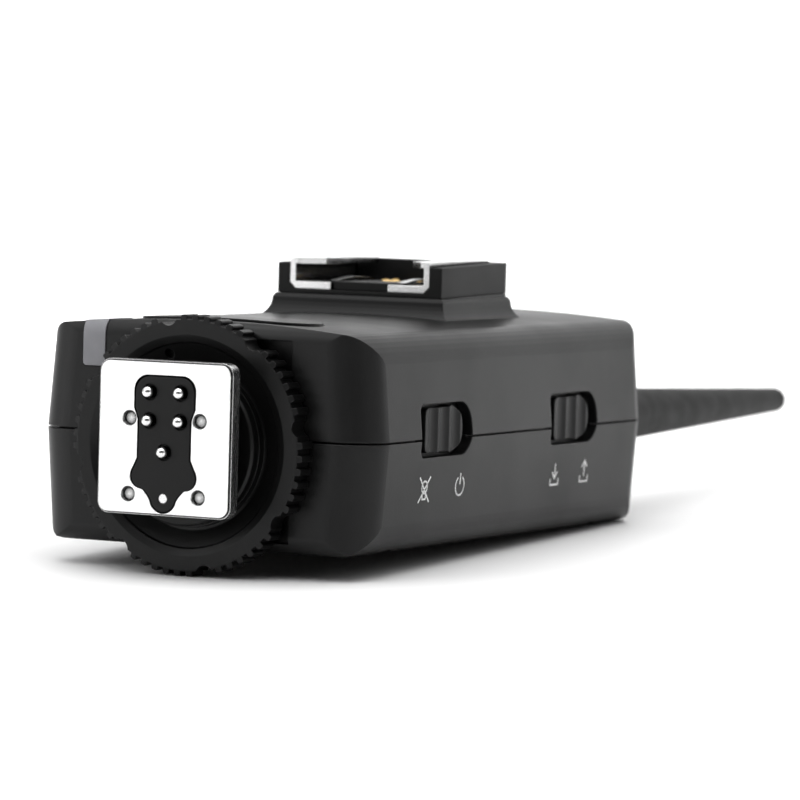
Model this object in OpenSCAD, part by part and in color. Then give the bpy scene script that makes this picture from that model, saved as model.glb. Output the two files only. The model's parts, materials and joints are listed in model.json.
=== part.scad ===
// Wireless flash trigger: a small radio unit with a clamping camera foot at the front,
// a hot shoe on top, two slide switches on the right side and a stub antenna at the back.
// Frame: origin at the centre of the foot plate's outer face, -Y out of the foot,
// +Y along the casing towards the antenna, +Z towards the hot shoe. Millimetres.

/* [Casing] */
// Width across the side walls, measured at the parting plane
casing_w = 47.8; // [47:0.2:49]
// Length from the front face to the back face
casing_l = 83; // [82:1:88]
// Height of the top edge above the parting plane
casing_top = 13.3; // [13:0.1:14]
// Depth of the underside below the parting plane
casing_bottom = 14; // [14:0.1:15]
// Extra height of the top's middle over its edges
crown = 0.9; // [0.4:0.1:1.2]
// Wall thickness of the two shells
wall = 1.8; // [1.6:0.1:2]
// Radius of the long edges
edge_r = 4; // [3.5:0.1:4.5]
// Radius of the four upright corners
corner_r = 5.4; // [4.5:0.1:6]
// Radius of the front and back edges
end_r = 2.2; // [1.5:0.1:2.5]
// How far each side wall leans in between the parting plane and its long edge
draft = 0.8; // [0.4:0.1:1]
// Width of the groove between the two shells
seam = 0.26; // [0.1:0.02:0.4]

/* [Foot] */
// Width of the foot plate, as a camera's shoe takes it
foot_w = 18.6; // [18.5:0.05:18.65]
// Length of the foot plate
foot_h = 19; // [18.5:0.1:19.5]
// Thickness of the foot plate
foot_t = 2; // [1.9:0.05:2]
// Gap between the plate and the open clamp, where the camera's rails go
grip_gap = 2.5; // [2.4:0.1:2.8]
// Radius of the clamp disc
clamp_r = 9.9; // [9.6:0.1:10.2]
// Thickness of the clamp disc
clamp_t = 1.3; // [1.2:0.1:1.4]
// How far the ring's axis sits below the plate's centre
axis_drop = 1.1; // [1:0.1:1.2]

/* [Locking ring] */
// Radius over the teeth
ring_r = 16.1; // [15.9:0.1:16.4]
// Length of the ring along its axis
ring_l = 3; // [2.8:0.1:3.2]
// Number of finger notches
notches = 8; // [6:1:8]
// Teeth between two notches
teeth = 6; // [4:1:6]

/* [Hot shoe] */
// Distance from the foot plate's face to the open end of the shoe
shoe_y = 50.6; // [49:0.1:52]
// Length of the shoe
shoe_l = 19.2; // [18.6:0.1:19.6]
// Outer width of the shoe's black frame
shoe_w = 24; // [23.6:0.1:25]
// Clear width between the rails, for an 18.6 mm foot
shoe_gap = 18.8; // [18.7:0.05:18.9]

/* [Switches] */
// Length of each switch window
window_l = 14.2; // [13.6:0.1:14.4]
// Height of each switch window
window_h = 6.7; // [6.4:0.1:7]
// Travel of each switch knob
knob_travel = 2; // [1.8:0.1:2]

/* [Antenna] */
// Length of the sleeve behind the casing
antenna_l = 67; // [60:0.5:75]
// Sleeve radius at the root
antenna_root_r = 3.85; // [3.7:0.05:4]
// Sleeve radius at the tip
antenna_tip_r = 1.75; // [1.5:0.05:2]

/* [Hidden] */
$fn = 64;

eps = 0.01;
gap = 0.1;
fit = 0.05;

// Stack along Y, from the foot plate backwards
clamp_y = foot_t + grip_gap;
ring_y = clamp_y + 1;
ring_back = ring_y + ring_l;
front = ring_back + gap;
back = front + casing_l;
half_w = casing_w / 2;
front_wall = 2.9;
inner_front = front + front_wall;
inner_back = back - wall;

// The seat is the shallow recess in the front face, behind the ring
seat_w = 25.6;
seat_depth = 0.9;
seat_low = -12.7;
seat_high = 12.2;

// Ring
ring_front_r = ring_r - 0.55;
rim_r = 13.65;
bowl_r = 12.7;
tooth_pitch = 5.9;
notch_r = 1.2;
notch_turn = 10.5;

// Foot
foot_corner = 1.5;
stem_r = 8.4;
stem_flat = 6.1;
pin_r = 0.72;
pin_hole_r = pin_r + fit;
pin_mouth_r = 1;
pin_reach = 1.2;
pin_collar_y = 3.4;
pin_collar_t = 0.6;
spring_back_y = 9.4;
sync_pos = [0, -1.7];
data_pos = [[-2.15, 5.6], [2.15, 5.6], [-2.15, 2.1], [2.15, 2.1]];
lock_pos = [0, -7.35];
lock_r = 0.6;
rivet_pos = [[-4.9, 2.3], [4.9, 2.3], [-4.9, -7], [4.9, -7]];
rivet_r = 0.8;
rivet_shank_r = 0.5;
rivet_head_y = 0.45;
rivet_head_t = 0.3;
dimple_r = 0.98;
dimple_depth = 0.35;

// Board, with its top face at board_z
board_t = 1;
board_z = -0.5;
board_front = inner_front + 0.9;
board_notch = inner_front + 2.7;
board_back = back - 4.6;
board_half_w = 19.4;

// Top
top_z = casing_top + crown;
button_y = front + 8;
button_l = 24.4;
button_w = 9;
button_rise = 0.3;
window_x = -15.1;
window_w = 3.2;
window_low = 7.95;
window_reach = 6.5;
guide_t = 1.2;

// Hot shoe heights
plinth_top = 16.5;
shoe_rake = 0.5;
shoe_floor = plinth_top + 0.6;
rail_t = 0.8;
slot_h = 2.3;
rail_base = shoe_floor;
rail_floor = rail_base + 1;
lip_z = rail_floor + slot_h;
frame_top = lip_z + 0.1;
lip_half = 6.35;
rail_half = shoe_gap / 2;
shoe_back = shoe_y + shoe_l;
stop_t = 1.6;
rail_bend = 0.8;

// Side windows
window_z = 1.1;
knob_lead = 1.7;
knob_l = window_l - knob_lead - knob_travel - gap;
knob_h = window_h - 1.1;
window_ys = [front + 13.9, front + 51.4];
knob_face = half_w - 0.45;
knob_flange_x = half_w - 2.7;

// Battery bay: two AAA cells side by side, nose to tail, each with a spring at its flat end
cell_r = 5.2;
cell_body_l = 43.4;
cell_nub_r = 1.9;
cell_nub_l = 0.8;
cell_x = 5.6;
cell_z = -7.5;
spring_l = 3.4;
contact_t = 0.4;
door_w = 26;
door_t = 1.2;
door_front = front + 13.4;
bay_half_w = 11.4;
bay_front = front + 16;
contact_front = bay_front + contact_t + fit;
contact_back = contact_front + cell_nub_l + cell_body_l + spring_l;
bay_back = contact_back + contact_t + fit;

// Jack on the left side
jack_y = front + 37.4;
jack_z = 4.4;
jack_r = 1.35;
jack_depth = 11;

// Antenna
antenna_x = 14.5;
antenna_z = -0.25;
collar_r = 4.7;
collar_l = 2.6;

boss_x = 18.6;
boss_front = front + 11.9;
boss_back = back - 11.6;
screw_spots = [for (x = [-boss_x, boss_x], y = [boss_front, boss_back]) [x, y]];

// ---------------------------------------------------------------- helpers

function arc(cx, cy, r, from, to, n) =
    [for (i = [0:n]) let (a = from + (to - from) * i / n) [cx + r * cos(a), cy + r * sin(a)]];

// Extrudes an X-Z outline along Y, from y0 over a length
module along_y(y0, length) {
    translate([0, y0 + length, 0])
        rotate([90, 0, 0])
            linear_extrude(length) children();
}

// Extrudes a Y-Z outline along X, from x0 over a length
module along_x(x0, length) {
    translate([x0, 0, 0])
        rotate([90, 0, 90])
            linear_extrude(length) children();
}

// Cylinder along Y
module rod_y(r, y0, length, x = 0, z = 0) {
    translate([x, y0, z])
        rotate([-90, 0, 0])
            cylinder(r = r, h = length);
}

// Turned shape on the ring's axis, from [radius, y] points
module turned_y(points) {
    translate([0, 0, -axis_drop])
        rotate([-90, 0, 0])
            rotate_extrude() polygon(points);
}

module rounded_rect(w, h, r) {
    square([w - 2 * r, h], center = true);
    square([w, h - 2 * r], center = true);
    for (x = [-1, 1], y = [-1, 1])
        translate([x * (w / 2 - r), y * (h / 2 - r)]) circle(r);
}

// Box between two corners
module block(low, high) {
    translate(low) cube(high - low);
}

// ---------------------------------------------------------------- casing shape

// Cross-section of the casing, drawn in X-Z and moved in from the surface by inset
module casing_section(inset) {
    hw = half_w - inset;
    hd = hw - draft;
    r = max(edge_r - inset, 0.8);
    high = casing_top - inset;
    low = -casing_bottom + inset;
    lean = atan(draft / (high - r));
    xe = hd - r;
    crown_steps = 14;
    polygon(concat(
        arc(xe, low + r, r, -90, -lean, 8),
        [[hw, 0]],
        arc(xe, high - r, r, lean, 90, 8),
        [for (i = [1:crown_steps - 1]) let (x = xe * (1 - 2 * i / crown_steps))
            [x, high + crown * (1 - pow(x / xe, 2))]],
        arc(-xe, high - r, r, 90, 180 - lean, 8),
        [[-hw, 0]],
        arc(-xe, low + r, r, 180 + lean, 270, 8)
    ));
}

// Lean of the side walls in the upper (half = 1) or lower (half = -1) part of a section
function side_lean(inset, half) =
    let (r = max(edge_r - inset, 0.8),
         bend = atan(draft / (casing_top - inset - r)),
         reach = (half > 0 ? casing_top : casing_bottom) - inset - r)
    atan((draft + r * (1 - cos(bend))) / (reach + r * sin(bend)));

// The whole casing as one block. ends_front and ends_back move the end faces in.
// Its upright corners follow the side walls of the upper (half = 1) or lower (half = -1) part.
module casing_block(inset, ends_front, ends_back, half) {
    length = casing_l - ends_front - ends_back;
    mid_y = front + ends_front + length / 2;
    height = top_z + casing_bottom - 2 * inset;
    mid_z = (top_z - casing_bottom) / 2;
    intersection() {
        along_y(mid_y - length / 2, length) casing_section(inset);
        leaning_prism(1, inset, mid_y, length, half);
        leaning_prism(-1, inset, mid_y, length, half);
        translate([0, mid_y, mid_z])
            along_x(-50, 100)
                rounded_rect(length, height, max(end_r - inset, 0.6));
    }
}

// Rounded prism hinged on the parting line of one side, wide enough to round that side alone
module leaning_prism(side, inset, mid_y, length, half) {
    hw = half_w - inset;
    translate([side * (hw + eps), mid_y, 0])
        rotate([0, -side * half * side_lean(inset, half), 0])
            translate([-side * 2 * hw, 0, -30])
                linear_extrude(60)
                    rounded_rect(4 * hw, length, max(corner_r - inset, 1));
}

module casing_outer(half) {
    casing_block(0, 0, 0, half);
}

module casing_cavity(half) {
    casing_block(wall, front_wall, wall, half);
}

module above(z) {
    block([-60, -20, z], [60, 200, 60]);
}

module below(z) {
    block([-60, -20, -60], [60, 200, z]);
}

// Shallow recess of the front face: square on the switch side, round behind the ring on the other
module seat_cut() {
    along_y(front - 1, seat_depth + 1)
        intersection() {
            translate([-30, seat_low]) square([60, seat_high - seat_low]);
            union() {
                translate([0, seat_low]) square([seat_w / 2, seat_high - seat_low]);
                difference() {
                    translate([0, -axis_drop]) circle(ring_r + 0.3);
                    translate([0, -30]) square([60, 60]);
                }
            }
        }
}

// Section of the stem: a round with two flats
module stem_outline(extra) {
    translate([0, -axis_drop])
        intersection() {
            circle(stem_r + extra);
            square([2 * (stem_flat + extra), 40], center = true);
        }
}

module stem_hole() {
    along_y(front - 1, front_wall + 2) stem_outline(fit);
}

// Window outline in Y-Z: nearly square at the front end, rounded at the back end
module window_outline(length, height) {
    small = 0.9;
    large = 2.9;
    translate([small, -height / 2]) square([length - small - large, height]);
    translate([0, small - height / 2]) square([length - large, height - 2 * small]);
    translate([length - large, large - height / 2]) square([large, height - 2 * large]);
    for (z = [-1, 1]) {
        translate([small, z * (height / 2 - small)]) circle(small);
        translate([length - large, z * (height / 2 - large)]) circle(large);
    }
}

module window_cuts() {
    for (y = window_ys)
        translate([0, y, window_z])
            along_x(half_w - wall - 1.2, 5) window_outline(window_l, window_h);
}

// Room behind each window for the knob's flange and its travel
module flange_room() {
    for (y = window_ys)
        block([knob_flange_x - 0.4, y - 2.2, window_z - 4.5],
              [half_w - 1.7, y + window_l + 2.2, window_z + 4.5]);
}

module jack_cut() {
    translate([-half_w - 1, jack_y, jack_z])
        rotate([0, 90, 0])
            cylinder(r = 3.05, h = 6);
}

module antenna_cut() {
    rod_y(2.65, back - 5, 10, antenna_x, antenna_z);
}

module button_outline(extra) {
    rounded_rect(button_l + 2 * extra, button_w + 2 * extra, button_w / 2 + extra - eps);
}

module button_cut() {
    translate([0, button_y, casing_top - 6])
        linear_extrude(20) button_outline(0.15);
}

// The light guide's front, with its two lower corners rounded
module guide_shape(shrink) {
    corner = 0.5;
    height = 20 - window_low;
    along_y(front - 1, window_reach + 1 - shrink)
        translate([window_x, window_low + shrink + height / 2])
            rounded_rect(window_w - 2 * shrink, height, corner);
}

module guide_slot() {
    guide_shape(0);
}

// Boss that takes a casing screw from below
module boss(x, y, z0, z1) {
    translate([x, y, z0]) cylinder(r = 2.7, h = z1 - z0);
}

// ---------------------------------------------------------------- casing nodes

// Plinth under the hot shoe, with flanks that sweep out into the top
module plinth() {
    ledge = 0.5;
    intersection() {
        along_y(shoe_y - 6, shoe_l + 12)
            skirt_outline(shoe_w / 2 + ledge);
        translate([0, shoe_y + shoe_l / 2, 0])
            along_x(-20, 40)
                skirt_outline(shoe_l / 2 + ledge);
    }
    // Wedge that lifts the shoe's frame towards the back
    along_x(-shoe_w / 2, shoe_w)
        polygon([[shoe_y, plinth_top - 0.2], [shoe_back, plinth_top - 0.2],
                 [shoe_back, plinth_top + shoe_rake - fit], [shoe_y, plinth_top]]);
}

// Half widths grow from the plinth's edge to the foot of its skirt along a hollow quarter round
module skirt_outline(half) {
    skirt = 2.2;
    root = 1;
    round_top = 0.5;
    steps = 8;
    low = casing_top - root;
    rise = plinth_top - casing_top - round_top;
    flank = [for (i = [0:steps]) let (a = 90 * i / steps)
        [half + skirt * (1 - sin(a)), casing_top + rise * (1 - cos(a))]];
    polygon(concat(
        [[-half - skirt, low], [half + skirt, low]],
        flank,
        [[half - round_top * 0.6, plinth_top], [-half + round_top * 0.6, plinth_top]],
        [for (i = [steps:-1:0]) [-flank[i][0], flank[i][1]]]
    ));
}

module upper_casing() {
    color([0.13, 0.13, 0.14])
        difference() {
            union() {
                difference() {
                    intersection() {
                        casing_outer(1);
                        above(seam / 2);
                    }
                    casing_cavity(1);
                }
                plinth();
                intersection() {
                    casing_outer(1);
                    for (p = screw_spots) boss(p[0], p[1], 0.6, 13);
                }
            }
            seat_cut();
            stem_hole();
            window_cuts();
            flange_room();
            jack_cut();
            antenna_cut();
            button_cut();
            guide_slot();
            for (p = screw_spots)
                translate([p[0], p[1], 0]) cylinder(r = 0.9, h = 9);
            // Passage for the shoe's wires
            translate([0, shoe_y + 10, 8]) cylinder(r = 3, h = 20);
            for (p = shoe_screw_spots())
                translate([p[0], p[1], 12]) cylinder(r = 0.8, h = 10);
        }
}

module lower_casing() {
    lip_h = 1.3;
    color([0.13, 0.13, 0.14])
        difference() {
            union() {
                difference() {
                    intersection() {
                        casing_outer(-1);
                        below(-seam / 2);
                    }
                    casing_cavity(-1);
                }
                seam_lip(lip_h);
                battery_walls();
                intersection() {
                    casing_outer(-1);
                    for (p = screw_spots) boss(p[0], p[1], -casing_bottom + 0.5, -0.6);
                }
            }
            seat_cut();
            stem_hole();
            window_cuts();
            flange_room();
            antenna_cut();
            door_cut();
            for (p = screw_spots)
                translate([p[0], p[1], 0]) {
                    translate([0, 0, -20]) cylinder(r = 1.15, h = 21);
                    translate([0, 0, -casing_bottom - 1]) cylinder(r = 2.15, h = 3.2);
                }
        }
}

// Thin lip inside the seam, which keeps light and dust out
module seam_lip(lip_h) {
    inset = wall * 0.55;
    difference() {
        intersection() {
            casing_block(inset, front_wall * 0.6, inset, -1);
            block([-60, 0, -1.5], [60, 200, seam / 2 - 0.02]);
        }
        casing_block(wall + 0.3, front_wall + 0.2, wall + 0.3, -1);
        // Clear of the stem's flange
        block([-10.5, 0, -5], [10.5, inner_front + 3, 5]);
    }
}

// Walls and roof of the battery bay
module battery_walls() {
    t = 1;
    roof = cell_z + cell_r + 0.15;
    difference() {
        block([-bay_half_w - t, bay_front - t, -casing_bottom + 1],
              [bay_half_w + t, bay_back + t, roof + 0.6]);
        block([-bay_half_w, bay_front, -20], [bay_half_w, bay_back, roof]);
    }
}

// Opening of the battery door, with grooves for the door's tongues
module door_cut() {
    open_end = back + 10;
    block([-door_w / 2 - gap, door_front - gap, -20],
          [door_w / 2 + gap, open_end, -casing_bottom + door_t + gap]);
    block([-bay_half_w, bay_front, -20], [bay_half_w, bay_back, -casing_bottom + 4]);
    for (s = [-1, 1])
        translate([s * (door_w / 2 + 0.4), 0, 0])
            block([-0.5, door_front + 1.9, -casing_bottom + 0.4 - fit],
                  [0.5, open_end, -casing_bottom + 1 + fit]);
}

module battery_door() {
    grip_pitch = 1.6;
    color([0.13, 0.13, 0.14])
        difference() {
            union() {
                intersection() {
                    casing_outer(-1);
                    block([-door_w / 2, door_front, -20],
                          [door_w / 2, back + 1, -casing_bottom + door_t]);
                }
                intersection() {
                    casing_outer(-1);
                    for (s = [-1, 1])
                        translate([s * (door_w / 2 + 0.2), 0, 0])
                            block([-0.4, door_front + 2, -casing_bottom + 0.4],
                                  [0.4, back - 3, -casing_bottom + 1]);
                }
            }
            for (i = [0:5])
                block([-5 + i * 0.3, door_front + 5 + i * grip_pitch, -20],
                      [5 - i * 0.3, door_front + 5.7 + i * grip_pitch, -casing_bottom + 0.35]);
        }
}

module casing_screws() {
    color([0.35, 0.35, 0.36])
        for (p = screw_spots)
            translate([p[0], p[1], 0]) {
                difference() {
                    translate([0, 0, -casing_bottom + 0.8]) cylinder(r = 1.9, h = 1.3);
                    cross_recess(-casing_bottom + 0.8);
                }
                translate([0, 0, -casing_bottom + 2.1]) cylinder(r = 0.85, h = casing_bottom + 5);
            }
}

// Cross slot cut upwards from a screw head's lower face
module cross_recess(z) {
    for (a = [0, 90])
        rotate([0, 0, a])
            translate([0, 0, z + 0.2]) cube([2.2, 0.45, 0.9], center = true);
}

// ---------------------------------------------------------------- top fittings

// L-shaped light guide, flush with the casing, with a leg down to the lamp
module status_window() {
    color([0.62, 0.63, 0.64])
        union() {
            difference() {
                intersection() {
                    casing_block(-0.12, -0.12, 0, 1);
                    guide_shape(0.03);
                }
                casing_block(guide_t, guide_t, 0, 1);
            }
            block([window_x - 1, front + 4.6, 1.9], [window_x + 1, front + 6.4, 12.7]);
        }
}

module status_led() {
    color([0.9, 0.9, 0.85])
        block([window_x - 0.9, front + 4.6, board_z], [window_x + 0.9, front + 6.4, 1.7]);
}

module test_button() {
    color([0.16, 0.16, 0.17])
        union() {
            intersection() {
                translate([0, button_y, casing_top - 2])
                    linear_extrude(20) button_outline(0);
                casing_block(-button_rise, -button_rise, 0, 1);
            }
            translate([0, button_y, casing_top - 3.4])
                linear_extrude(1.5) rounded_rect(button_l + 1.4, button_w + 0.8, 4.8);
            translate([0, button_y, 4.4]) cylinder(r = 1.5, h = 6);
        }
}

module test_plunger() {
    color([0.1, 0.1, 0.1])
        translate([0, button_y, 2]) cylinder(r = 1.5, h = 2.4);
}

// Tactile switch under the button
module test_switch() {
    color([0.2, 0.2, 0.22])
        difference() {
            translate([-3, board_notch, board_z]) cube([6, 6, 3.2]);
            translate([0, button_y, board_z + 1]) cylinder(r = 1.7, h = 4);
        }
}

// ---------------------------------------------------------------- hot shoe

function shoe_screw_spots() = [for (x = [-7.6, 7.6], y = [shoe_y + 4.6, shoe_back - 4.6]) [x, y]];

module hot_shoe_frame() {
    color([0.12, 0.12, 0.13])
        difference() {
            along_x(-shoe_w / 2, shoe_w)
                polygon([[shoe_y, plinth_top + fit], [shoe_back, plinth_top + shoe_rake],
                         [shoe_back, frame_top + shoe_rake], [shoe_y, frame_top]]);
            along_y(shoe_y - 1, shoe_l + 1 - stop_t) rail_seat();
            for (p = shoe_screw_spots())
                translate([p[0], p[1], 10]) cylinder(r = 0.95, h = 20);
            translate([0, shoe_y + 10, 8]) cylinder(r = 3, h = 20);
        }
}

// Channel of the frame, cut to the rails' outer shape
module rail_seat() {
    outer = rail_half + rail_t + fit;
    polygon([[-outer + rail_bend, rail_base], [outer - rail_bend, rail_base], [outer, rail_base + rail_bend],
             [outer, 40], [-outer, 40], [-outer, rail_base + rail_bend]]);
}

// One rail is a C section: floor strip, bend, wall and lip
module rail_section() {
    floor_in = 4.2;
    outer = rail_half + rail_t;
    polygon([
        [floor_in, rail_base + fit], [outer - rail_bend, rail_base + fit],
        [outer, rail_base + rail_bend + fit],
        [outer, lip_z + rail_t], [lip_half, lip_z + rail_t],
        [lip_half, lip_z], [rail_half, lip_z],
        [rail_half, rail_floor], [floor_in, rail_floor]
    ]);
}

module hot_shoe_rails() {
    lead = 2.8;
    length = shoe_l - stop_t;
    color([0.82, 0.82, 0.83])
        for (s = [0, 1])
            mirror([s, 0, 0])
                difference() {
                    along_y(shoe_y, length) rail_section();
                    translate([lip_half, shoe_y, lip_z - eps])
                        linear_extrude(5)
                            polygon([[-1, -1], [2.6, -1], [2.6, 0], [0, lead], [-1, lead]]);
                    for (y = [shoe_y + 4.6, shoe_back - 4.6])
                        translate([7.6, y, 0]) {
                            cylinder(r = 0.95, h = 40);
                            translate([0, 0, rail_floor - 0.35]) cylinder(r = 1.45, h = 1);
                        }
                }
}

// Bowed leaf springs on the shoe's floor, which grip the foot of a flash
module hot_shoe_spring() {
    leaf_w = 1.3;
    leaf_t = 0.2;
    length = 11;
    start = shoe_y + 2.4;
    n = 10;
    bow = [for (i = [0:n]) let (t = i / n) [start + length * t, rail_floor + 0.5 * sin(180 * t)]];
    color([0.78, 0.78, 0.8])
        for (s = [-1, 1])
            along_x(s * 4.95 - leaf_w / 2, leaf_w)
                polygon(concat(bow, [for (i = [n:-1:0]) bow[i] + [0, leaf_t]]));
}

module hot_shoe_contact_block() {
    color([0.15, 0.15, 0.16])
        difference() {
            block([-4.1, shoe_y + 0.4, shoe_floor + fit],
                  [4.1, shoe_back - stop_t - 0.1, rail_floor + 0.15]);
            for (p = shoe_contact_spots())
                translate([p[0], p[1], 0]) cylinder(r = p[2], h = 40);
        }
}

// Contact places as [x, y, radius]: the large sync contact and four signal contacts
function shoe_contact_spots() =
    concat([[0, shoe_y + 9.3, 1.4]],
           [for (x = [-2.3, 2.3], y = [shoe_y + 13, shoe_y + 16]) [x, y - 0.9, 0.75]]);

module hot_shoe_contacts() {
    color([0.85, 0.72, 0.42])
        for (p = shoe_contact_spots())
            translate([p[0], p[1], shoe_floor]) {
                cylinder(r = p[2] - fit, h = 1.15);
                translate([0, 0, 1.15]) cylinder(r1 = p[2] - fit, r2 = p[2] * 0.5, h = 0.2);
            }
}

module hot_shoe_screws() {
    color([0.7, 0.7, 0.72])
        for (p = shoe_screw_spots())
            translate([p[0], p[1], 0])
                difference() {
                    union() {
                        translate([0, 0, rail_floor - 0.35]) cylinder(r = 1.4, h = 0.33);
                        translate([0, 0, 12.5]) cylinder(r = 0.75, h = rail_floor - 12.8);
                    }
                    translate([0, 0, rail_floor - 0.02])
                        for (a = [45, 135])
                            rotate([0, 0, a]) cube([1.7, 0.35, 0.3], center = true);
                }
}

// ---------------------------------------------------------------- foot

// Outline of the black insert, drawn in X-Z
module insert_outline(grow) {
    top_half = 4.1 + grow;
    waist_half = 3.57 + grow;
    lobe_half = 4.46 + grow;
    lobe_z = -4.7;
    lobe_r = 1.6;
    tip_r = 1.65 + grow;
    // Head that holds the signal contacts
    translate([0, 5]) rounded_rect(2 * top_half, 5 + 2 * grow, 1.9);
    polygon([[-top_half, 4.6], [-top_half, 3.7], [-waist_half, 2.3], [-waist_half, -2.6],
             [waist_half, -2.6], [waist_half, 2.3], [top_half, 3.7], [top_half, 4.6]]);
    // Two lobes low down
    for (s = [-1, 1])
        translate([s * (lobe_half - lobe_r), lobe_z]) circle(lobe_r);
    polygon([[-waist_half, -2.5], [-lobe_half + 0.2, lobe_z + 0.75], [-lobe_half + lobe_r, lobe_z - lobe_r],
             [lobe_half - lobe_r, lobe_z - lobe_r], [lobe_half - 0.2, lobe_z + 0.75], [waist_half, -2.5]]);
    // Tongue round the locking pin
    translate(lock_pos) circle(tip_r);
    polygon([[-3.2 - grow, lobe_z - 1.5], [-2.65 - grow, lobe_z - 1.7], [-2 - grow, lobe_z - 2.4],
             [-1.57 - grow, lock_pos[1] - 0.4], [1.57 + grow, lock_pos[1] - 0.4],
             [2 + grow, lobe_z - 2.4], [2.65 + grow, lobe_z - 1.7], [3.2 + grow, lobe_z - 1.5]]);
}

module foot_plate() {
    chamfer = 0.25;
    color([0.85, 0.85, 0.86])
        difference() {
            union() {
                along_y(chamfer, foot_t - chamfer) rounded_rect(foot_w, foot_h, foot_corner);
                along_y(0, chamfer + eps)
                    rounded_rect(foot_w - 2 * chamfer, foot_h - 2 * chamfer, foot_corner - chamfer);
            }
            along_y(-1, foot_t + 2) insert_outline(0.2);
            for (p = rivet_pos) {
                translate([p[0], -eps, p[1]])
                    rotate([-90, 0, 0])
                        cylinder(r1 = dimple_r, r2 = rivet_r, h = dimple_depth + eps);
                rod_y(rivet_r, 0, rivet_head_y + rivet_head_t + fit, p[0], p[1]);
                rod_y(rivet_shank_r + fit, -1, 5, p[0], p[1]);
            }
        }
}

module foot_insert() {
    color([0.14, 0.14, 0.15])
        difference() {
            union() {
                along_y(0, foot_t) insert_outline(0);
                along_y(foot_t - eps, 1 + eps) insert_root();
            }
            for (p = concat([sync_pos], data_pos)) {
                rod_y(pin_mouth_r, -1, 1.5, p[0], p[1]);
                rod_y(pin_hole_r, -1, 10, p[0], p[1]);
            }
            rod_y(lock_r + fit, -1, 10, lock_pos[0], lock_pos[1]);
        }
}

// Part of the insert that sits in the stem
module insert_root() {
    intersection() {
        insert_outline(0);
        translate([0, -axis_drop]) circle(stem_r - 0.5);
    }
}

module foot_rivets() {
    color([0.8, 0.8, 0.81])
        for (p = rivet_pos) {
            rod_y(rivet_r - fit, rivet_head_y, rivet_head_t, p[0], p[1]);
            rod_y(rivet_shank_r, rivet_head_y + eps, 3.1, p[0], p[1]);
        }
}

module foot_stem() {
    flange_y = inner_front + fit;
    color([0.12, 0.12, 0.13])
        difference() {
            union() {
                along_y(foot_t, flange_y - foot_t + eps) stem_outline(0);
                along_y(flange_y, 2)
                    translate([0, -axis_drop]) rounded_rect(19, 20, 3);
            }
            along_y(foot_t - 1, 2) insert_root();
            for (p = concat([sync_pos], data_pos)) {
                rod_y(pin_hole_r + 0.33, foot_t, spring_back_y - foot_t, p[0], p[1]);
                rod_y(0.5, foot_t, 20, p[0], p[1]);
            }
            rod_y(lock_r + fit, foot_t, 8, lock_pos[0], lock_pos[1]);
            for (p = rivet_pos)
                rod_y(rivet_shank_r + fit, foot_t - 1, 2.6, p[0], p[1]);
        }
}

// Contact pin with a rounded tip and a collar for its spring
module contact_pin(p) {
    translate([p[0], 0, p[1]])
        union() {
            translate([0, -pin_reach + pin_r, 0]) sphere(r = pin_r);
            rod_y(pin_r, -pin_reach + pin_r, pin_collar_y + pin_reach - pin_r + eps);
            rod_y(1, pin_collar_y, pin_collar_t);
        }
}

module sync_pin() {
    color([0.84, 0.84, 0.85]) contact_pin(sync_pos);
}

module data_pin_1() {
    color([0.84, 0.84, 0.85]) contact_pin(data_pos[0]);
}

module data_pin_2() {
    color([0.84, 0.84, 0.85]) contact_pin(data_pos[1]);
}

module data_pin_3() {
    color([0.84, 0.84, 0.85]) contact_pin(data_pos[2]);
}

module data_pin_4() {
    color([0.84, 0.84, 0.85]) contact_pin(data_pos[3]);
}

// Closed tube along a coil about the Y axis, as a polyhedron
module coil_y(coil_r, wire_r, y0, length, turns, per_turn = 10, sides = 4) {
    n = turns * per_turn;
    function centre(i) = let (a = 360 * i / per_turn)
        [coil_r * cos(a), y0 + wire_r + (length - 2 * wire_r) * i / n, coil_r * sin(a)];
    function ring_point(i, j) = let (a = 360 * i / per_turn, b = 360 * j / sides)
        centre(i) + wire_r * [cos(b) * cos(a), sin(b), cos(b) * sin(a)];
    points = [for (i = [0:n], j = [0:sides - 1]) ring_point(i, j)];
    skin = [for (i = [0:n - 1], j = [0:sides - 1], half = [0, 1])
        let (k = (j + 1) % sides, here = i * sides, next = here + sides)
        half == 0 ? [here + j, here + k, next + k] : [here + j, next + k, next + j]];
    ends = [[for (j = [sides - 1:-1:0]) j], [for (j = [0:sides - 1]) n * sides + j]];
    polyhedron(points, concat(skin, ends), convexity = 6);
}

module pin_springs() {
    y0 = pin_collar_y + pin_collar_t + 0.02;
    color([0.7, 0.7, 0.72])
        for (p = concat([sync_pos], data_pos))
            translate([p[0], 0, p[1]])
                coil_y(0.82, 0.13, y0, spring_back_y - y0 - 0.02, 6);
}

module lock_pin() {
    color([0.84, 0.84, 0.85]) rod_y(lock_r, 0.05, 7.2, lock_pos[0], lock_pos[1]);
}

module clamp_plate() {
    color([0.15, 0.15, 0.16])
        difference() {
            turned_y([[0, clamp_y], [clamp_r - 0.3, clamp_y], [clamp_r, clamp_y + 0.3],
                      [clamp_r, clamp_y + clamp_t], [0, clamp_y + clamp_t]]);
            along_y(clamp_y - 1, clamp_t + 2) stem_outline(fit);
        }
}

// Outline of the ring's rim, drawn in X-Z about the ring's axis
module ring_outline() {
    segment = 360 / notches;
    difference() {
        union() {
            circle(ring_front_r - 0.05, $fn = 160);
            for (k = [0:notches - 1], j = [0:teeth - 1])
                rotate(notch_turn + (k + 0.5) * segment + (j - (teeth - 1) / 2) * tooth_pitch)
                    ring_tooth();
        }
        for (k = [0:notches - 1])
            rotate(notch_turn + k * segment)
                translate([ring_r, 0]) circle(notch_r);
    }
}

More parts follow.
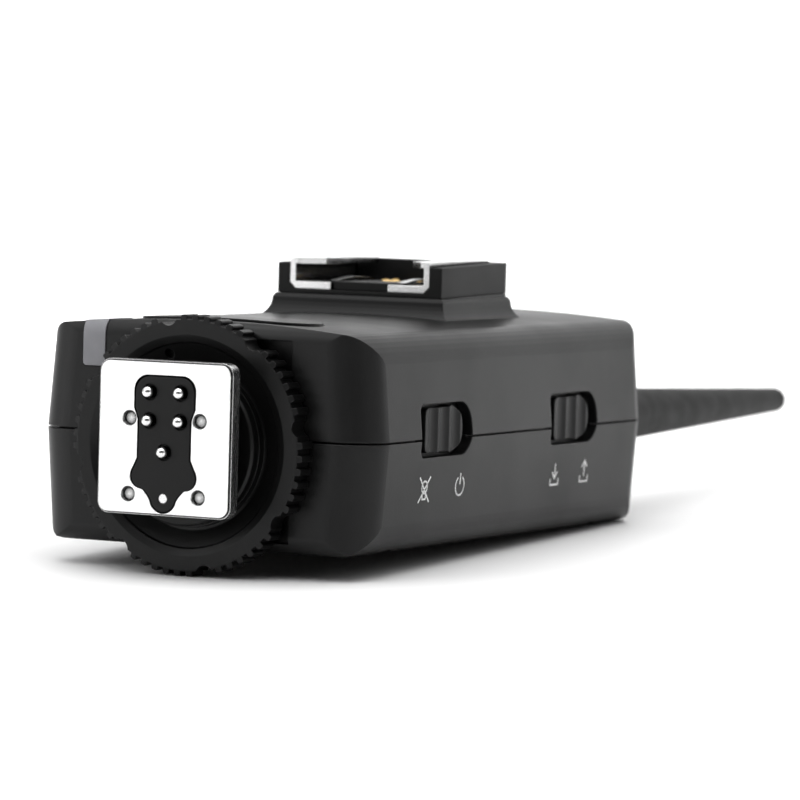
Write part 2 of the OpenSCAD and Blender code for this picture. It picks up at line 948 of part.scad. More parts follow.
module ring_tooth() {
    polygon([[ring_r - 2, -0.55], [ring_r - 0.15, -0.42], [ring_r, -0.3],
             [ring_r, 0.3], [ring_r - 0.15, 0.42], [ring_r - 2, 0.55]]);
}

module lock_ring() {
    hub_y = clamp_y + clamp_t + fit;
    bowl_y = ring_y + 1.5;
    color([0.13, 0.13, 0.14])
        difference() {
            union() {
                intersection() {
                    along_y(ring_y, ring_l)
                        translate([0, -axis_drop]) ring_outline();
                    turned_y([[0, ring_y], [ring_front_r - 0.15, ring_y], [ring_r + 1, ring_y + 0.35],
                              [ring_r + 1, ring_back - 0.25], [ring_r - 0.3, ring_back], [0, ring_back]]);
                }
            }
            // Bowl inside the rim, which leaves a low hub behind the clamp disc
            turned_y([[clamp_r + 0.2, ring_y - 1], [rim_r, ring_y - 1], [rim_r, ring_y],
                      [bowl_r, ring_y + 0.35], [bowl_r - 0.1, ring_y + 0.6], [clamp_r + 0.6, bowl_y],
                      [clamp_r + 0.2, bowl_y]]);
            turned_y([[0, ring_y - 1], [clamp_r + 0.3, ring_y - 1], [clamp_r + 0.3, hub_y], [0, hub_y]]);
            turned_y([[0, ring_y - 2], [stem_r + fit, ring_y - 2],
                      [stem_r + fit, ring_back + 2], [0, ring_back + 2]]);
            // Index hole in the bowl
            rotate_about_ring(106) rod_y(0.6, ring_y - 1, 2.9, 11.6, 0);
        }
}

module rotate_about_ring(angle) {
    translate([0, 0, -axis_drop])
        rotate([0, -angle, 0]) children();
}

// Flat cable from the back of the stem to the board's front edge
module foot_ribbon() {
    t = 0.25;
    y0 = inner_front + 2 + fit;
    color([0.62, 0.5, 0.2]) {
        block([-4, y0, -5], [9, y0 + t, 6]);
        block([4, y0 + t - eps, board_z + fit], [9, board_notch + 3, board_z + fit + t]);
    }
}

// ---------------------------------------------------------------- switches

// Knob with a scalloped face; its flange runs behind the wall and its fork holds the switch's tab
module knob(y) {
    scallop_r = 2.6;
    third = (knob_l - 1) / 3;
    start = y + knob_lead;
    mid = start + knob_l / 2;
    difference() {
        union() {
            translate([0, start, window_z])
                along_x(knob_flange_x, knob_face - knob_flange_x)
                    window_outline(knob_l, knob_h);
            block([knob_flange_x, y - knob_travel - gap, window_z - 4.2],
                  [knob_flange_x + 0.8, y + window_l + gap, window_z + 4.2]);
            block([half_w - 5.2, mid - 2, window_z - 1.6], [knob_flange_x + eps, mid + 2, window_z + 1.6]);
        }
        for (i = [0:2])
            translate([knob_face + scallop_r - 0.42, start + 0.5 + (i + 0.5) * third, window_z - 10])
                cylinder(r = scallop_r, h = 20);
        block([half_w - 6, mid - 0.8, window_z - 0.8], [half_w - 3.6, mid + 0.8, window_z + 0.8]);
    }
}

// Slide switch on the board, with a slot for the tab's travel
module slide_switch(y) {
    mid = y + knob_lead + knob_l / 2 + knob_travel / 2;
    block([half_w - 10, mid - 5, board_z], [half_w - 5.5, mid + 5, board_z + 3.6]);
}

module power_knob() {
    color([0.15, 0.15, 0.16]) knob(window_ys[0]);
}

module mode_knob() {
    color([0.15, 0.15, 0.16]) knob(window_ys[1]);
}

module power_switch() {
    color([0.7, 0.7, 0.72]) slide_switch(window_ys[0]);
}

module mode_switch() {
    color([0.7, 0.7, 0.72]) slide_switch(window_ys[1]);
}

// ---------------------------------------------------------------- electronics

module main_board() {
    color([0.1, 0.3, 0.16])
        difference() {
            block([-board_half_w, board_front, board_z - board_t], [board_half_w, board_back, board_z]);
            for (p = screw_spots)
                translate([p[0], p[1], -10]) cylinder(r = 3.1, h = 20);
            // Room for the stem's flange
            block([-10.2, 0, -10], [10.2, board_notch, 10]);
            // Room for the antenna's root
            block([6, board_back - 7, -10], [antenna_x + 10, board_back + 2, 10]);
        }
}

module radio_module() {
    color([0.75, 0.75, 0.76])
        block([-8, board_back - 19, board_z], [6, board_back - 1, board_z + 2.6]);
}

// Controller, two smaller chips and the charge capacitor
module board_chips() {
    color([0.1, 0.1, 0.1]) {
        chip(-6, front + 31.4, 8, 8, 1);
        chip(-14, front + 47.4, 5, 4, 1.4);
        chip(6, front + 35.4, 4, 5, 1.4);
        translate([-12, front + 21.4, board_z]) cylinder(r = 2.5, h = 5.5);
    }
}

module chip(x, y, w, l, h) {
    translate([x, y, board_z]) cube([w, l, h]);
}

// Flat cable from the shoe's contacts down to the board
module hot_shoe_ribbon() {
    t = 0.25;
    y0 = shoe_y + 9;
    color([0.62, 0.5, 0.2])
        along_x(-2.4, 4.8)
            polygon([[y0, shoe_floor - 0.1], [y0 - t, shoe_floor - 0.1], [y0 - t, 5 + t], [y0 - 6, 5 + t],
                     [y0 - 6, board_z], [y0 - 6 + t, board_z], [y0 - 6 + t, 5], [y0, 5]]);
}

// The left cell's nub points forwards and the right cell's nub backwards
module battery_cells() {
    color([0.75, 0.76, 0.78]) {
        rod_y(cell_r, contact_front + cell_nub_l, cell_body_l, -cell_x, cell_z);
        rod_y(cell_nub_r, contact_front + eps, cell_nub_l, -cell_x, cell_z);
        rod_y(cell_r, contact_front + spring_l, cell_body_l, cell_x, cell_z);
        rod_y(cell_nub_r, contact_back - cell_nub_l - eps, cell_nub_l, cell_x, cell_z);
    }
}

module battery_springs() {
    slack = 0.02;
    length = spring_l - 2 * slack;
    color([0.75, 0.75, 0.78]) {
        translate([-cell_x, 0, cell_z]) cell_spring(contact_back - spring_l + slack, length);
        translate([cell_x, 0, cell_z]) cell_spring(contact_front + slack, length);
    }
}

module cell_spring(y0, length) {
    coil_y(coil_r = 2.6, wire_r = 0.25, y0 = y0, length = length, turns = 3, per_turn = 14);
}

// A plate for each cell at the front, and one that joins the two cells at the back
module battery_plates() {
    half_w = 4.4;
    half_h = 4.2;
    front_y = bay_front + fit;
    color([0.8, 0.8, 0.82]) {
        for (x = [-cell_x, cell_x])
            block([x - half_w, front_y, cell_z - half_h],
                  [x + half_w, front_y + contact_t, cell_z + half_h]);
        block([-cell_x - half_w, contact_back, cell_z - half_h],
              [cell_x + half_w, contact_back + contact_t, cell_z + half_h]);
    }
}

module sync_jack() {
    color([0.12, 0.12, 0.12])
        difference() {
            union() {
                translate([-half_w + 0.35, jack_y, jack_z])
                    rotate([0, 90, 0]) cylinder(r = 3, h = 4);
                block([-half_w + 2.6, jack_y - 3.5, jack_z - 3.4],
                      [-half_w + 2.6 + jack_depth, jack_y + 3.5, jack_z + 3.2]);
            }
            translate([-half_w - 1, jack_y, jack_z])
                rotate([0, 90, 0]) cylinder(r = jack_r, h = jack_depth + 1);
        }
}

// ---------------------------------------------------------------- antenna

module antenna_sleeve() {
    y0 = back + collar_l;
    tip_y = back + antenna_l;
    color([0.12, 0.12, 0.13])
        difference() {
            translate([antenna_x, 0, antenna_z])
                rotate([-90, 0, 0])
                    rotate_extrude()
                        polygon(concat(
                            [[0, y0], [antenna_root_r, y0]],
                            arc(0, tip_y - antenna_tip_r, antenna_tip_r, 4, 90, 8)));
            rod_y(0.8 + fit, back - 1, antenna_l - 8, antenna_x, antenna_z);
        }
}

module antenna_core() {
    color([0.8, 0.68, 0.4])
        rod_y(0.8, back - 4, antenna_l - 6, antenna_x, antenna_z);
}

// Nut and washer that clamp the antenna's root to the back wall
module antenna_collar() {
    color([0.14, 0.14, 0.15])
        difference() {
            union() {
                rod_y(collar_r, back + 0.02, collar_l - 0.04, antenna_x, antenna_z);
                rod_y(2.6, back - 4.5, 4.6, antenna_x, antenna_z);
                rod_y(3.6, inner_back - 1.9, 1.5, antenna_x, antenna_z);
            }
            rod_y(0.8, back - 10, 20, antenna_x, antenna_z);
        }
}

// Thin coaxial cable: along the side of the radio module, bent towards its connector
module antenna_cable() {
    r = 0.55;
    bend = 2;
    y_turn = back - 8.6;
    color([0.2, 0.2, 0.2])
        translate([antenna_x, 0, antenna_z]) {
            rod_y(r, y_turn + bend, back - 4.6 - y_turn - bend);
            translate([-bend, y_turn + bend, 0])
                rotate([0, 0, -90]) rotate_extrude(angle = 90) translate([bend, 0]) circle(r);
            translate([-bend, y_turn, 0])
                rotate([0, -90, 0]) cylinder(r = r, h = 5.8);
        }
}

upper_casing();
lower_casing();
battery_door();
casing_screws();
status_window();
status_led();
test_button();
test_plunger();
test_switch();
hot_shoe_frame();
hot_shoe_rails();
hot_shoe_spring();
hot_shoe_contact_block();
hot_shoe_contacts();
hot_shoe_screws();
hot_shoe_ribbon();
foot_plate();
foot_insert();
foot_rivets();
foot_stem();
sync_pin();
data_pin_1();
data_pin_2();
data_pin_3();
data_pin_4();
pin_springs();
lock_pin();
foot_ribbon();
clamp_plate();
lock_ring();
power_knob();
mode_knob();
power_switch();
mode_switch();
main_board();
radio_module();
board_chips();
battery_cells();
battery_springs();
battery_plates();
sync_jack();
antenna_sleeve();
antenna_core();
antenna_collar();
antenna_cable();
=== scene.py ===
"""Looks of the wireless flash trigger: materials, camera, studio, printed marks and pin springs."""

import json
import math

import bmesh
import bpy
from mathutils import Matrix, Vector
from mathutils.bvhtree import BVHTree


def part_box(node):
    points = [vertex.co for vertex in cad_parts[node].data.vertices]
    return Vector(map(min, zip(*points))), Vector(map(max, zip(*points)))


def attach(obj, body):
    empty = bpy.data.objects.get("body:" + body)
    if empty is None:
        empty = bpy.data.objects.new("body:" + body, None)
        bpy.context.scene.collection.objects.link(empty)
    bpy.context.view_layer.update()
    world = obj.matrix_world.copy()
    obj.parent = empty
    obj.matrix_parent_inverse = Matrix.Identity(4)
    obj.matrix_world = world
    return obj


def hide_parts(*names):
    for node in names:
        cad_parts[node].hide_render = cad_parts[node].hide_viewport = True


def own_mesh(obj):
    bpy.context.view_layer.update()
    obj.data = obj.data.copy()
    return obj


MM = 0.001

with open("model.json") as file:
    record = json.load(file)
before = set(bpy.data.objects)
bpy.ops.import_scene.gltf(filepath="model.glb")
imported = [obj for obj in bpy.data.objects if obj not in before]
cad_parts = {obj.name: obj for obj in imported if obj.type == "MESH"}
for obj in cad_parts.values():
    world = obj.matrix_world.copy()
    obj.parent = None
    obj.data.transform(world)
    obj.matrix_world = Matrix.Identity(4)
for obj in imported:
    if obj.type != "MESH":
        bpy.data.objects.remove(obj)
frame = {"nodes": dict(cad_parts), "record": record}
nodes = frame["nodes"]
bpy.context.view_layer.update()


# ---------------------------------------------------------------- node materials

class Nodes:
    """A node tree under construction."""

    def __init__(self, tree):
        self.tree = tree

    def add(self, kind, inputs=None, **settings):
        node = self.tree.nodes.new(kind)
        for key, value in settings.items():
            setattr(node, key, value)
        for key, value in (inputs or {}).items():
            self.feed(node.inputs[key], value)
        return node

    def feed(self, socket, value):
        if isinstance(value, bpy.types.NodeSocket):
            self.tree.links.new(value, socket)
        else:
            socket.default_value = value

    def math(self, operation, a, b=0.0):
        return self.add("ShaderNodeMath", {0: a, 1: b}, operation=operation).outputs[0]

    def ramp(self, value, low, high, to_low=0.0, to_high=1.0):
        inputs = {"Value": value, "From Min": low, "From Max": high,
                  "To Min": to_low, "To Max": to_high}
        return self.add("ShaderNodeMapRange", inputs).outputs["Result"]

    def dot(self, a, b):
        node = self.add("ShaderNodeVectorMath", {0: a, 1: b}, operation="DOT_PRODUCT")
        return node.outputs["Value"]


class Shader(Nodes):
    """A material under construction. Sizes are metres, in the object's own coordinates."""

    def __init__(self, name):
        self.material = bpy.data.materials.new(name)
        self.material.use_nodes = True
        super().__init__(self.material.node_tree)
        self.tree.nodes.clear()
        self.place = self.add("ShaderNodeTexCoord").outputs["Object"]

    def stretched(self, stretch):
        """The object's coordinates, with a texture's features stretched along each axis."""
        squeeze = tuple(1 / s for s in stretch)
        return self.add("ShaderNodeMapping", {"Vector": self.place, "Scale": squeeze}).outputs[0]

    def noise(self, size, detail=3, stretch=None):
        where = self.stretched(stretch) if stretch else self.place
        inputs = {"Vector": where, "Scale": 1 / size, "Detail": detail}
        return self.add("ShaderNodeTexNoise", inputs).outputs["Fac"]

    def cells(self, size, feature="F1"):
        inputs = {"Vector": self.place, "Scale": 1 / size}
        return self.add("ShaderNodeTexVoronoi", inputs, feature=feature).outputs["Distance"]

    def axis(self, name):
        return self.add("ShaderNodeSeparateXYZ", {"Vector": self.place}).outputs[name]

    def mix(self, factor, a, b):
        node = self.add("ShaderNodeMix", data_type="RGBA")
        self.feed(node.inputs["Factor"], factor)
        self.feed(node.inputs["A"], a)
        self.feed(node.inputs["B"], b)
        return node.outputs["Result"]

    def bump(self, height, depth, normal=None, strength=1.0):
        inputs = {"Height": height, "Distance": depth, "Strength": strength}
        if normal is not None:
            inputs["Normal"] = normal
        return self.add("ShaderNodeBump", inputs).outputs["Normal"]

    def edge(self, radius, gain=6.0):
        """A normal that rounds the edges off, and a mask: 1 on edges, 0 on flat ground."""
        soft = self.add("ShaderNodeBevel", {"Radius": radius}, samples=4).outputs["Normal"]
        true = self.add("ShaderNodeNewGeometry").outputs["Normal"]
        bend = self.math("SUBTRACT", 1.0, self.dot(soft, true))
        return soft, self.ramp(self.math("MULTIPLY", bend, gain), 0.0, 1.0)

    def open_sky(self, reach):
        """1 on open ground, 0 deep in recesses narrower than reach."""
        inputs = {"Distance": reach}
        seen = self.add("ShaderNodeAmbientOcclusion", inputs, samples=6).outputs["AO"]
        return self.ramp(seen, 0.7, 0.97)

    def surface(self, colour, roughness, normal=None, **more):
        """Finishes the material as one principled surface."""
        inputs = {"Base Color": colour, "Roughness": roughness}
        if normal is not None:
            inputs["Normal"] = normal
        for key, value in more.items():
            inputs[key.replace("_", " ")] = value
        principled = self.add("ShaderNodeBsdfPrincipled", inputs)
        output = self.add("ShaderNodeOutputMaterial")
        self.tree.links.new(principled.outputs[0], output.inputs["Surface"])
        return self.material


def grey(value, tint=0.0):
    """A neutral colour, a little towards blue when tint is above 0."""
    return (value, value, value * (1 + tint), 1)


def scaled(colour, factor):
    """The colour made darker or brighter, held under full white."""
    return tuple(min(part * factor, 0.98) for part in colour[:3]) + (1,)


def moulded_plastic(name, shade, roughness, grain=0.22 * MM, depth=0.006 * MM, wear=0.5):
    """Black moulded plastic: spark-eroded grain, faint smudges, edges rubbed a little shiny."""
    s = Shader(name)
    tone = s.noise(5 * MM, detail=4)
    smudge = s.noise(17 * MM, detail=5)
    soft, edge = s.edge(0.25 * MM)
    colour = s.mix(tone, grey(shade * 0.8, 0.04), grey(shade * 1.25, 0.04))
    worn = s.mix(s.math("MULTIPLY", edge, wear), colour, grey(shade * 3 + 0.006, 0.04))
    dull = s.ramp(smudge, 0.35, 0.65, roughness + 0.05, roughness - 0.05)
    rough = s.math("SUBTRACT", dull, s.math("MULTIPLY", edge, 0.1))
    pits = s.cells(grain)
    fine = s.noise(grain * 0.6, detail=2)
    skin = s.bump(s.math("ADD", pits, fine), depth, soft)
    return s.surface(worn, rough, skin, IOR=1.5)


def rubber(name, shade):
    """Matt elastomer with a dry bloom and fine lengthwise flow lines."""
    s = Shader(name)
    bloom = s.noise(3 * MM, detail=5)
    flow = s.noise(0.5 * MM, detail=3, stretch=(1, 14, 1))
    soft, edge = s.edge(0.2 * MM)
    colour = s.mix(bloom, grey(shade * 0.8), grey(shade * 1.3))
    dusty = s.mix(s.math("MULTIPLY", edge, 0.4), colour, grey(shade * 2.5))
    rough = s.ramp(bloom, 0.3, 0.7, 0.5, 0.62)
    return s.surface(dusty, rough, s.bump(flow, 0.008 * MM, soft), IOR=1.48)


def plated_metal(name, colour, roughness, brush=(1, 1, 24), lines=0.12 * MM):
    """Plated or bare metal: fine brushing, a slight bloom, smoother rubbed edges, painted shade in
    recesses.
    """
    s = Shader(name)
    strokes = s.noise(lines, detail=4, stretch=brush)
    bloom = s.noise(4 * MM, detail=4)
    soft, edge = s.edge(0.15 * MM)
    unshaded_colour = s.mix(bloom, scaled(colour, 0.94), scaled(colour, 1.05))
    # Painted shade: recesses narrower than 0.9 mm are coloured nearly black, standing in for their
    # shadow.
    tone = s.mix(s.open_sky(0.9 * MM), scaled(colour, 0.03), unshaded_colour)
    base = s.ramp(strokes, 0.3, 0.7, roughness - 0.05, roughness + 0.07)
    rough = s.math("SUBTRACT", base, s.math("MULTIPLY", edge, 0.06))
    skin = s.bump(strokes, 0.0006 * MM, soft)
    return s.surface(tone, rough, skin, Metallic=1.0)


def frosted_acrylic(name, colour, haze, glow=0.0):
    """Cloudy clear plastic with flow marks; glow lights it from inside."""
    s = Shader(name)
    cloud = s.noise(2.5 * MM, detail=4)
    flow = s.noise(0.4 * MM, detail=2, stretch=(1, 1, 6))
    soft, edge = s.edge(0.15 * MM)
    tone = s.mix(cloud, scaled(colour, 0.85), scaled(colour, 1.15))
    lit = s.mix(s.math("MULTIPLY", edge, 0.5), tone, scaled(colour, 1.5))
    rough = s.ramp(cloud, 0.3, 0.7, haze, haze + 0.12)
    more = {"Transmission_Weight": 0.25, "Emission_Color": colour, "Emission_Strength": glow}
    return s.surface(lit, rough, s.bump(flow, 0.004 * MM, soft), **more)


def circuit_board(name):
    """Green solder mask over copper tracks, with a fine weave under it."""
    s = Shader(name)
    tracks = s.ramp(s.cells(1.6 * MM, feature="DISTANCE_TO_EDGE"), 0.05, 0.09)
    weave = s.noise(0.3 * MM, detail=2)
    soft, edge = s.edge(0.1 * MM)
    copper = s.mix(weave, (0.02, 0.17, 0.06, 1), (0.03, 0.22, 0.08, 1))
    mask = s.mix(tracks, copper, (0.008, 0.08, 0.03, 1))
    bare = s.mix(edge, mask, (0.3, 0.27, 0.14, 1))
    height = s.math("ADD", s.math("MULTIPLY", tracks, -0.5), s.math("MULTIPLY", weave, 0.2))
    return s.surface(bare, 0.32, s.bump(height, 0.03 * MM, soft))


def shrink_wrap(name):
    """A cell's printed sleeve: dark body, a copper-coloured band at one end, slight wrinkles."""
    s = Shader(name)
    low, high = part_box("battery_cells")
    along = s.axis("Y")
    wrinkle = s.noise(1.5 * MM, detail=3, stretch=(4, 1, 4))
    soft, edge = s.edge(0.15 * MM)
    band_start = high.y - 13 * MM
    band = s.ramp(along, band_start, band_start + 0.1 * MM)
    colour = s.mix(band, (0.02, 0.022, 0.026, 1), (0.42, 0.2, 0.07, 1))
    scuffed = s.mix(s.math("MULTIPLY", edge, 0.6), colour, grey(0.5))
    rough = s.ramp(wrinkle, 0.3, 0.7, 0.22, 0.34)
    return s.surface(scuffed, rough, s.bump(wrinkle, 0.03 * MM, soft))


def flat_cable(name):
    """Amber film over parallel copper conductors."""
    s = Shader(name)
    pitch = 0.5 * MM
    phase = s.math("FRACT", s.math("DIVIDE", s.axis("X"), pitch))
    conductor = s.math("GREATER_THAN", phase, 0.45)
    film = s.noise(3 * MM, detail=3)
    amber = s.mix(film, (0.34, 0.13, 0.02, 1), (0.42, 0.18, 0.03, 1))
    colour = s.mix(conductor, amber, (0.55, 0.3, 0.1, 1))
    return s.surface(colour, 0.3, s.bump(conductor, 0.02 * MM))


def printing_ink(name):
    """White pad-printed ink, a little broken where the grain lets the black through."""
    s = Shader(name)
    wear = s.noise(0.35 * MM, detail=3)
    holes = s.ramp(wear, 0.3, 0.42)
    colour = s.mix(holes, grey(0.4), grey(0.8))
    return s.surface(colour, 0.55, s.bump(wear, 0.005 * MM))


NICKEL = grey(0.9)
STEEL = grey(0.62)
GOLD = (0.95, 0.68, 0.3, 1)

materials = {
    "casing": moulded_plastic("casing_plastic", 0.006, 0.36),
    "button": moulded_plastic("button_plastic", 0.009, 0.34, grain=0.15 * MM),
    "ring_black": moulded_plastic("ring_plastic", 0.003, 0.38),
    "insert_black": moulded_plastic("insert_plastic", 0.002, 0.42, depth=0.003 * MM),
    "inner_black": moulded_plastic("inner_plastic", 0.004, 0.5),
    "shoe_black": moulded_plastic("shoe_plastic", 0.002, 0.46),
    "knob_black": moulded_plastic("knob_plastic", 0.006, 0.38, grain=0.16 * MM),
    "collar_black": moulded_plastic("collar_plastic", 0.006, 0.4),
    "antenna_rubber": rubber("antenna_rubber", 0.008),
    "cable_black": rubber("cable_jacket", 0.01),
    "foot_metal": plated_metal("foot_plate_nickel", NICKEL, 0.24),
    "shoe_chrome": plated_metal("shoe_chrome", NICKEL, 0.16, brush=(1, 24, 1)),
    "pin_metal": plated_metal("pin_nickel", grey(0.8), 0.2, brush=(1, 8, 1)),
    "spring_steel": plated_metal("spring_steel", STEEL, 0.28, brush=(1, 16, 1)),
    "switch_metal": plated_metal("switch_tin", STEEL, 0.32),
    "shield_tin": plated_metal("shield_tin", grey(0.7), 0.3, brush=(16, 1, 1)),
    "dark_steel": plated_metal("screw_black_oxide", grey(0.09), 0.36, brush=(1, 1, 1)),
    "contact_gold": plated_metal("contact_gold", GOLD, 0.22, brush=(1, 8, 1)),
    "light_guide": frosted_acrylic("light_guide_acrylic", (0.34, 0.34, 0.36, 1), 0.3),
    "lamp": frosted_acrylic("lamp_epoxy", (0.6, 0.05, 0.03, 1), 0.12, glow=0.1),
    "board_green": circuit_board("board_laminate"),
    "cell_wrap": shrink_wrap("cell_sleeve"),
    "flat_cable": flat_cable("flat_cable_film"),
}


# ---------------------------------------------------------------- camera

VIEW_AZIMUTH = 26.88
VIEW_ELEVATION = 3.12
VIEW_ROLL = 1.55
VIEW_DISTANCE = 640 * MM
VIEW_LENS = 228.5
VIEW_TARGET = Vector((15.7, 32.3, 4.3)) * MM
APERTURE = 56.0


def look_directions():
    """Camera axes: right, up and back, from azimuth, elevation and roll."""
    azimuth, elevation, roll = (math.radians(a) for a in (VIEW_AZIMUTH, VIEW_ELEVATION, VIEW_ROLL))
    back = Vector((
        math.sin(azimuth) * math.cos(elevation),
        -math.cos(azimuth) * math.cos(elevation),
        math.sin(elevation),
    ))
    level = Vector((math.cos(azimuth), math.sin(azimuth), 0))
    upright = back.cross(level)
    right = level * math.cos(roll) + upright * math.sin(roll)
    return right, back.cross(right), back


def add_camera():
    right, up, back = look_directions()
    camera = bpy.data.objects.new("camera", bpy.data.cameras.new("camera"))
    bpy.context.scene.collection.objects.link(camera)
    camera.data.lens = VIEW_LENS
    camera.data.sensor_width = 36
    camera.data.clip_start = 0.01
    camera.matrix_world = Matrix((right, up, back)).transposed().to_4x4()
    camera.location = VIEW_TARGET + back * VIEW_DISTANCE
    camera.data.dof.use_dof = True
    camera.data.dof.focus_object = nodes["foot_plate"]
    camera.data.dof.aperture_fstop = APERTURE
    bpy.context.scene.camera = camera


add_camera()


# ---------------------------------------------------------------- studio

def mesh_object(name, vertices, faces, material):
    mesh = bpy.data.meshes.new(name)
    mesh.from_pydata(vertices, [], faces)
    mesh.materials.append(material)
    made = bpy.data.objects.new(name, mesh)
    bpy.context.scene.collection.objects.link(made)
    return made


def paper():
    """White sweep that glows a little away from the object, so that it runs out into plain white."""
    s = Shader("studio_paper")
    tone = s.noise(0.3, detail=2)
    tooth = s.noise(0.8 * MM, detail=3)
    colour = s.mix(tone, grey(0.9), grey(0.94))
    distance = s.add("ShaderNodeVectorMath", {0: s.place}, operation="LENGTH").outputs["Value"]
    glow = s.ramp(distance, 0.1, 0.32, 0.0, 0.55)
    more = {"Emission_Color": grey(1.0), "Emission_Strength": glow}
    made = s.surface(colour, 0.6, s.bump(tooth, 0.01 * MM), **more)
    # Clear from below, so that a camera under the floor sees the object's underside
    output = s.tree.nodes["Material Output"]
    facing = s.add("ShaderNodeMixShader", {0: s.add("ShaderNodeNewGeometry").outputs["Backfacing"]})
    s.tree.links.new(output.inputs["Surface"].links[0].from_socket, facing.inputs[1])
    s.tree.links.new(s.add("ShaderNodeBsdfTransparent").outputs[0], facing.inputs[2])
    s.tree.links.new(facing.outputs[0], output.inputs["Surface"])
    return made


def add_floor():
    """A paper sweep under the ring's lowest tooth and the casing's rear edge, so it leans a little."""
    ring_low, ring_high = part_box("lock_ring")
    casing_low, casing_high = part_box("lower_casing")
    touch_front = Vector(((ring_low.y + ring_high.y) / 2, ring_low.z))
    touch_back = Vector((casing_high.y - 2 * MM, casing_low.z))
    lean = math.atan2(touch_back.y - touch_front.y, touch_back.x - touch_front.x)
    flat_front, flat_back, bend, wall, half_width, steps = -2.0, 1.2, 0.5, 2.0, 2.5, 24
    profile = [(flat_front, 0.0)]
    for i in range(steps + 1):
        turn = math.pi / 2 * i / steps
        profile.append((flat_back + bend * math.sin(turn), bend * (1 - math.cos(turn))))
    profile.append((flat_back + bend, bend + wall))
    vertices = [(x, y, z) for y, z in profile for x in (-half_width, half_width)]
    faces = [(2 * i, 2 * i + 1, 2 * i + 3, 2 * i + 2) for i in range(len(profile) - 1)]
    floor = mesh_object("floor", vertices, faces, paper())
    for polygon in floor.data.polygons:
        polygon.use_smooth = True
    floor.rotation_euler = (lean, 0, 0)
    floor.location = (0, touch_front.x, touch_front.y)


def soft_box(name, azimuth, elevation, distance, width, height, radiance):
    """An area light seen from the object in that direction, aimed at it."""
    a, e = math.radians(azimuth), math.radians(elevation)
    away = Vector((math.sin(a) * math.cos(e), -math.cos(a) * math.cos(e), math.sin(e)))
    light = bpy.data.lights.new(name, "AREA")
    light.shape = "RECTANGLE"
    light.size = width
    light.size_y = height
    light.energy = radiance * math.pi * width * height
    lamp = bpy.data.objects.new(name, light)
    bpy.context.scene.collection.objects.link(lamp)
    lamp.location = VIEW_TARGET + away * distance
    lamp.rotation_euler = away.to_track_quat("Z", "Y").to_euler()
    lamp.visible_camera = False


def add_world():
    """White for the camera. In reflections: a dark patch round the camera, less light from low down."""
    world = bpy.data.worlds.new("studio")
    world.use_nodes = True
    n = Nodes(world.node_tree)
    direction = n.add("ShaderNodeTexCoord").outputs["Generated"]
    patch_rim, patch_core = math.cos(math.radians(42)), math.cos(math.radians(30))
    towards_camera = n.dot(direction, look_directions()[2])
    around_camera = n.ramp(towards_camera, patch_rim, patch_core, 1.0, 0.05)
    height = n.add("ShaderNodeSeparateXYZ", {0: direction}).outputs["Z"]
    from_above = n.ramp(height, -0.1, 0.7, 0.3, 0.75)
    lit = n.math("MULTIPLY", around_camera, from_above)
    seen = n.add("ShaderNodeLightPath").outputs["Is Camera Ray"]
    strength = n.add("ShaderNodeMix", {"Factor": seen, "A": lit, "B": 1.0}).outputs["Result"]
    background = n.tree.nodes["Background"]
    background.inputs["Color"].default_value = grey(1.0)
    n.feed(background.inputs["Strength"], strength)
    bpy.context.scene.world = world


add_floor()
add_world()
soft_box("overhead_light", 20, 80, 0.8, 1.0, 1.0, 2.0)
soft_box("left_light", -50, 25, 0.9, 0.7, 0.9, 1.1)
bpy.context.scene.view_settings.view_transform = "Standard"
bpy.context.scene.view_settings.gamma = 0.8


# ---------------------------------------------------------------- CAD nodes

slots = {part["node"]: part["material_slot"] for part in frame["record"]["subparts"]}
for name, node in nodes.items():
    for slot in node.material_slots:
        slot.material = materials[slots[name]]


# ---------------------------------------------------------------- printed marks

MARK_DROP = 7.3 * MM
MARK_LINE = 0.24 * MM
INK_ABOVE = 0.03 * MM
INK_BELOW = 0.04 * MM


def casing_side():
    """A ray-cast tree of the lower casing, on which the marks lie."""
    mesh = bmesh.new()
    mesh.from_mesh(nodes["lower_casing"].data)
    tree = BVHTree.FromBMesh(mesh)
    mesh.free()
    return tree


def side_point(tree, y, z, lift):
    """The point of the casing's right side at y and z, lifted off it along X."""
    hit = tree.ray_cast(Vector((0.1, y, z)), Vector((-1, 0, 0)))[0]
    return (hit.x + lift, y, z)


def arc(y, z, radius, start, end, steps=14):
    """Points on an arc, in millimetres and degrees; 0 degrees points along +Y."""
    angles = [math.radians(start + (end - start) * i / steps) for i in range(steps + 1)]
    return [(y + radius * math.cos(a), z + radius * math.sin(a)) for a in angles]


def add_mark(name, tree, y, z, lines):
    """One printed mark centred at y, z: every line is a row of points in millimetres."""
    vertices, faces = [], []
    for line in lines:
        for start, end in zip(line, line[1:]):
            a = Vector((y, z)) + Vector(start) * MM
            b = Vector((y, z)) + Vector(end) * MM
            along = (b - a).normalized() * MARK_LINE / 2
            across = Vector((-along.y, along.x))
            corners = (a - along - across, b + along - across, b + along + across, a - along + across)
            first = len(vertices)
            for lift in (-INK_BELOW, INK_ABOVE):
                vertices += [side_point(tree, c.x, c.y, lift) for c in corners]
            faces.append((first + 3, first + 2, first + 1, first))
            faces.append((first + 4, first + 5, first + 6, first + 7))
            for i in range(4):
                j = (i + 1) % 4
                faces.append((first + i, first + j, first + 4 + j, first + 4 + i))
    mark = mesh_object(name, vertices, faces, ink)
    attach(mark, "casing")


ink = printing_ink("white_ink")
side = casing_side()

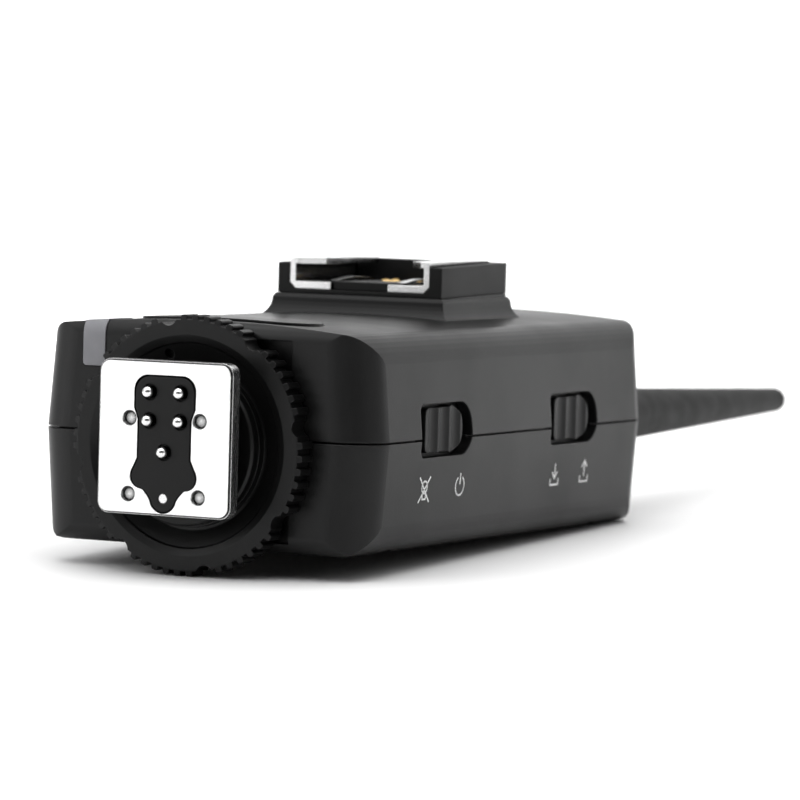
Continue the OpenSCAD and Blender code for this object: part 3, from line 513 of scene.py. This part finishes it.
tray = [(-1.2, -0.6), (-1.2, -1.3), (1.2, -1.3), (1.2, -0.6)]
shaft = [(0, 1.4), (0, -0.5)]
marks = {
    # A crossed-out lamp and a power sign under the two ends of the front switch
    "mark_light_off": ("power_knob", 4.0, [
        arc(0, 0.3, 0.75, 0, 360),
        [(-0.45, -0.6), (-0.45, -1.2), (0.45, -1.2), (0.45, -0.6)],
        [(-1.4, 1.5), (1.4, -1.5)],
        [(1.4, 1.5), (-1.4, -1.5)],
    ]),
    "mark_power": ("power_knob", 13.9, [arc(0, 0, 1.2, 125, 415), [(0, 0.3), (0, 1.5)]]),
    # Arrows into and out of a tray under the two ends of the rear switch
    "mark_receive": ("mode_knob", 4.4, [tray, shaft, [(-0.7, 0.3), (0, -0.5), (0.7, 0.3)]]),
    "mark_transmit": ("mode_knob", 13.5, [tray, shaft, [(-0.7, 0.7), (0, 1.5), (0.7, 0.7)]]),
}
for name, (knob, along, lines) in marks.items():
    low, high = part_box(knob)
    add_mark(name, side, low.y + along * MM, (low.z + high.z) / 2 - MARK_DROP, lines)


# ---------------------------------------------------------------- springs behind the contact pins

COIL_TURNS = 7
COIL_STEPS = 20
WIRE_SIDES = 8
WIRE_RADIUS = 0.12 * MM


def coil(name, centre, front, back, radius):
    """A round-wire compression spring along Y, closed at both wire ends."""
    start, length = front + WIRE_RADIUS, back - front - 2 * WIRE_RADIUS
    steps = COIL_TURNS * COIL_STEPS
    vertices = []
    for i in range(steps + 1):
        turn = 2 * math.pi * i / COIL_STEPS
        outward = Vector((math.cos(turn), 0, math.sin(turn)))
        middle = Vector((centre.x, start + length * i / steps, centre.z)) + outward * radius
        for k in range(WIRE_SIDES):
            around = 2 * math.pi * k / WIRE_SIDES
            side = outward * math.cos(around) + Vector((0, 1, 0)) * math.sin(around)
            vertices.append(middle + side * WIRE_RADIUS)
    faces = []
    for i in range(steps):
        for k in range(WIRE_SIDES):
            a, b = i * WIRE_SIDES + k, i * WIRE_SIDES + (k + 1) % WIRE_SIDES
            faces.append((a, b, b + WIRE_SIDES, a + WIRE_SIDES))
    faces.append(tuple(reversed(range(WIRE_SIDES))))
    faces.append(tuple(steps * WIRE_SIDES + k for k in range(WIRE_SIDES)))
    made = mesh_object(name, vertices, faces, materials["spring_steel"])
    for polygon in made.data.polygons:
        polygon.use_smooth = True
    return made


spring_low, spring_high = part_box("pin_springs")
pins = {"sync_pin": "sync_pin_press"}
pins.update({f"data_pin_{i}": f"data_pin_{i}_press" for i in range(1, 5)})
# The springs' widest point is the outer turn round the outermost pin
reach = spring_high.x - (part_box("data_pin_2")[0].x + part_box("data_pin_2")[1].x) / 2
for pin, joint in pins.items():
    centre = sum(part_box(pin), Vector()) / 2
    spring = coil(f"{pin}_spring", centre, spring_low.y, spring_high.y, reach - WIRE_RADIUS)
    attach(spring, "casing")
    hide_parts("pin_springs")
    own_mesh(spring)


bpy.context.view_layer.update()
